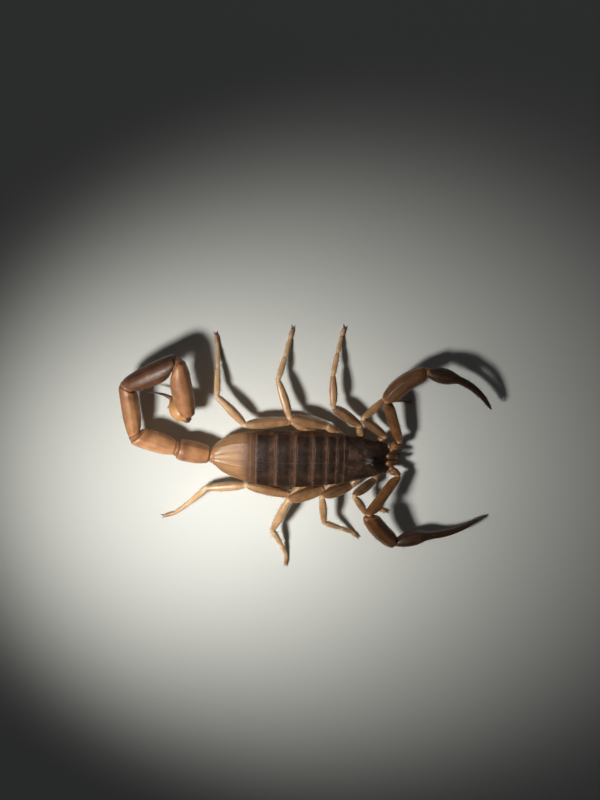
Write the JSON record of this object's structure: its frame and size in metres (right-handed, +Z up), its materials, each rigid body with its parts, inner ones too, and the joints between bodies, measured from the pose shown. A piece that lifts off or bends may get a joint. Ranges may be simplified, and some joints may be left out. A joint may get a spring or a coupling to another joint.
{
  "type": "desert scorpion",
  "caption": "Still, life-size desert scorpion of the bark-scorpion kind: dark back, straw legs, slender claws, and a tail curled to its left with the sting folded in.",
  "frame": {"origin": "bottom centre of the bounding box, on the plane that the soles stand on", "axes": "+X towards the head, +Y towards the animal's left side, +Z up from the floor"},
  "size_m": [0.0479, 0.0333, 0.0074],
  "materials": {
    "shield_shell": "dark, finely granular, semi-gloss",
    "eye_cuticle": "black, glossy",
    "jaw_shell": "straw with dark fingertips, semi-gloss",
    "under_shell": "pale tan, semi-gloss",
    "comb_shell": "pale cream, satin",
    "back_shell": "blackish brown with paler rear margins, satin",
    "rear_back_shell": "honey tan, translucent, semi-gloss",
    "leg_shell": "straw, slightly translucent, semi-gloss",
    "palp_shell": "orange brown, semi-gloss",
    "claw_shell": "reddish brown, semi-gloss",
    "tail_shell": "orange tan with darker keels, semi-gloss",
    "bulb_shell": "amber, translucent, glossy",
    "sting_shell": "dark red brown, glossy"
  },
  "bodies": {
    "root": {"carapace": "shield_shell", "eye_l": "eye_cuticle", "eye_r": "eye_cuticle", "chelicera_l": "jaw_shell", "chelicera_r": "jaw_shell", "coxosternum": "under_shell", "pectine_l": "comb_shell", "pectine_r": "comb_shell", "mesosoma_1": "back_shell", "mesosoma_2": "back_shell", "mesosoma_3": "back_shell", "mesosoma_4": "back_shell", "mesosoma_5": "back_shell", "mesosoma_6": "back_shell", "mesosoma_7": "rear_back_shell", "femur_l1": "leg_shell", "patella_l1": "leg_shell", "shank_l1": "leg_shell", "femur_l2": "leg_shell", "patella_l2": "leg_shell", "shank_l2": "leg_shell", "femur_l3": "leg_shell", "patella_l3": "leg_shell", "shank_l3": "leg_shell", "femur_l4": "leg_shell", "patella_l4": "leg_shell", "shank_l4": "leg_shell", "femur_r1": "leg_shell", "patella_r1": "leg_shell", "shank_r1": "leg_shell", "femur_r2": "leg_shell", "patella_r2": "leg_shell", "shank_r2": "leg_shell", "femur_r3": "leg_shell", "patella_r3": "leg_shell", "shank_r3": "leg_shell", "femur_r4": "leg_shell", "patella_r4": "leg_shell", "shank_r4": "leg_shell", "palp_trochanter_l": "palp_shell", "palp_femur_l": "palp_shell", "palp_patella_l": "palp_shell", "palp_palm_l": "claw_shell", "palp_finger_l": "claw_shell", "palp_trochanter_r": "palp_shell", "palp_femur_r": "palp_shell", "palp_patella_r": "palp_shell", "palp_palm_r": "claw_shell", "palp_finger_r": "claw_shell", "metasoma_1": "tail_shell", "metasoma_2": "tail_shell", "metasoma_3": "tail_shell", "metasoma_4": "tail_shell", "metasoma_5": "tail_shell", "telson_vesicle": "bulb_shell", "aculeus": "sting_shell"}
  },
  "joints": []
}
